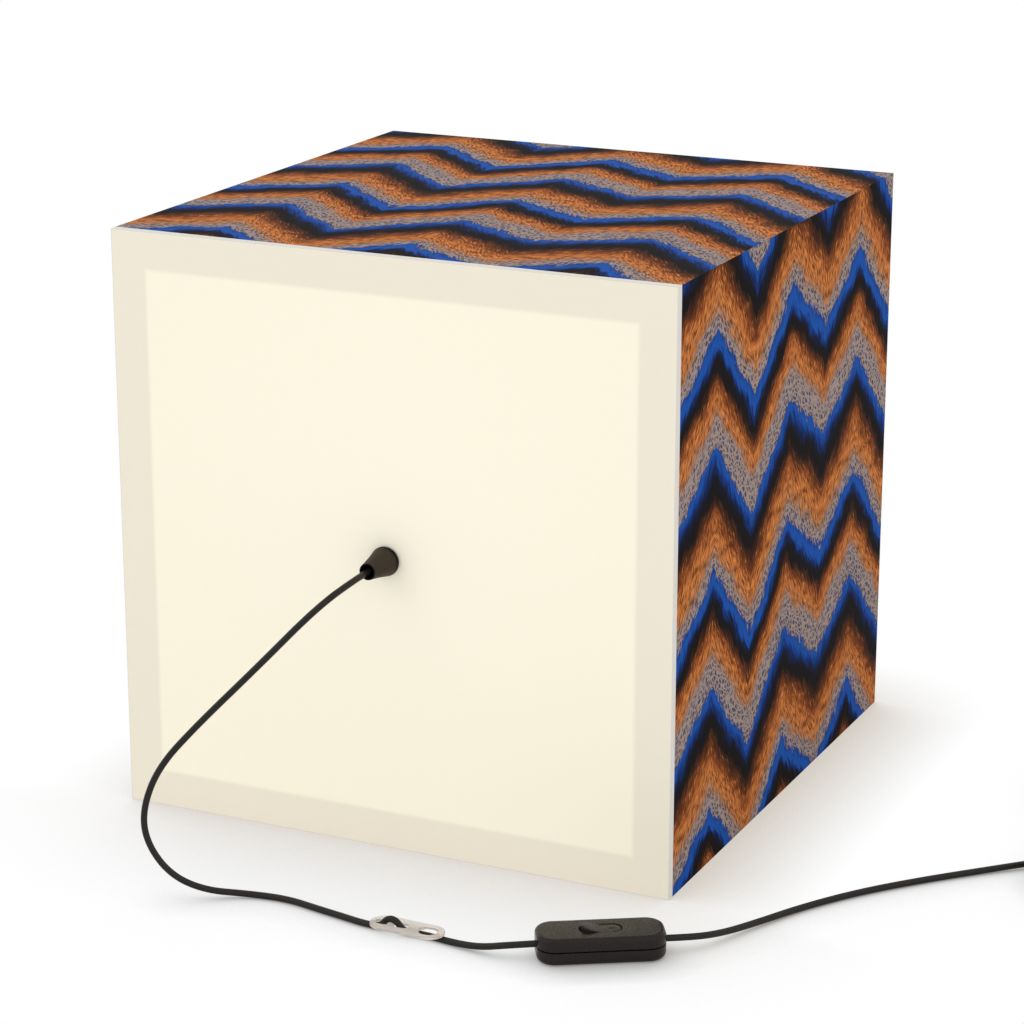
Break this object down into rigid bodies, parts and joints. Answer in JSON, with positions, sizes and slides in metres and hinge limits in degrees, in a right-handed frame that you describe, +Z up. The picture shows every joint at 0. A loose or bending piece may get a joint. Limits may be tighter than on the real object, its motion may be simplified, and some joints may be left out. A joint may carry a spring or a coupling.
{
  "type": "cube table lamp",
  "caption": "Cube table lamp: printed sheet sides, a plain pull-off back panel that carries the lampholder and bulb, and a mains cord with an in-line rocker switch.",
  "frame": {"origin": "middle of the cube's base, on the surface it stands on", "axes": "+Z up, -Y out of the plain back panel where the cord leaves, +X to the right when that panel faces the viewer"},
  "size_m": [0.3337, 0.2627, 0.195],
  "materials": {
    "printed_sheet": "satin print on styrene sheet",
    "cream_sheet": "satin translucent",
    "frame_strip": "matt",
    "gland_rubber": "matt",
    "plated_steel": "zinc plated",
    "holder_plastic": "matt",
    "holder_ceramic": "matt",
    "brass": "bright",
    "lead_brown": "smooth",
    "lead_blue": "smooth",
    "bulb_cap_metal": "rolled",
    "bulb_insulator": "gloss",
    "bulb_white": "satin",
    "bulb_frosted": "frosted",
    "led_board": "white lacquer",
    "led_phosphor": "gloss",
    "circuit_board": "satin",
    "cord_black": "satin",
    "clear_clip": "clear",
    "switch_black": "satin",
    "tie_black": "matt",
    "plug_black": "satin",
    "plug_pin": "nickel plated"
  },
  "bodies": {
    "shade": {"shade_top_sheet": "printed_sheet", "shade_right_sheet": "printed_sheet", "shade_bottom_sheet": "printed_sheet", "shade_left_sheet": "printed_sheet", "shade_front_sheet": "printed_sheet"},
    "back": {"back_panel": "cream_sheet", "back_frame_top": "frame_strip", "back_frame_bottom": "frame_strip", "back_frame_right": "frame_strip", "back_frame_left": "frame_strip", "hollow_nipple": "plated_steel", "panel_washer": "plated_steel", "lock_nut": "plated_steel", "holder_cap": "holder_plastic", "holder_body": "holder_plastic", "holder_insert": "holder_ceramic", "holder_screw_shell": "brass", "holder_centre_contact": "brass", "holder_lead_live": "lead_brown", "holder_lead_neutral": "lead_blue", "switch_base": "switch_black", "switch_cover": "switch_black", "switch_screws": "plated_steel", "switch_cord_clamps": "switch_black", "switch_contacts": "brass", "switch_terminals": "brass", "switch_terminal_screws": "brass", "switch_leads": "lead_brown", "cord_gland": "gland_rubber", "cord_clip": "clear_clip", "cord_lamp_run": "cord_black", "cord_supply_run": "cord_black", "cord_coil": "cord_black", "cord_tail": "cord_black", "coil_tie": "tie_black", "plug_strain_relief": "plug_black", "plug_body": "plug_black", "plug_pins": "plug_pin", "plug_pin_sleeves": "plug_black"},
    "bulb": {"bulb_tip_contact": "brass", "bulb_insulator": "bulb_insulator", "bulb_screw_cap": "bulb_cap_metal", "bulb_housing": "bulb_white", "bulb_dome": "bulb_frosted", "bulb_led_board": "led_board", "bulb_led_chips": "led_phosphor", "bulb_driver_board": "circuit_board"},
    "rocker": {"switch_rocker": "switch_black", "switch_bridge": "brass"}
  },
  "joints": [
    {"name": "back pull-off", "type": "slide", "parent": "shade", "child": "back", "axis": [0, -1, 0], "range_m": [0, 0.125]},
    {"name": "bulb removal", "type": "slide", "parent": "back", "child": "bulb", "axis": [0, 1, 0], "range_m": [0, 0.022]},
    {"name": "switch rocker", "type": "hinge", "parent": "back", "child": "rocker", "pos_m": [0.0942, -0.1427, 0.007], "axis": [0.515, -0.8572, 0], "range_deg": [0, 15]}
  ]
}
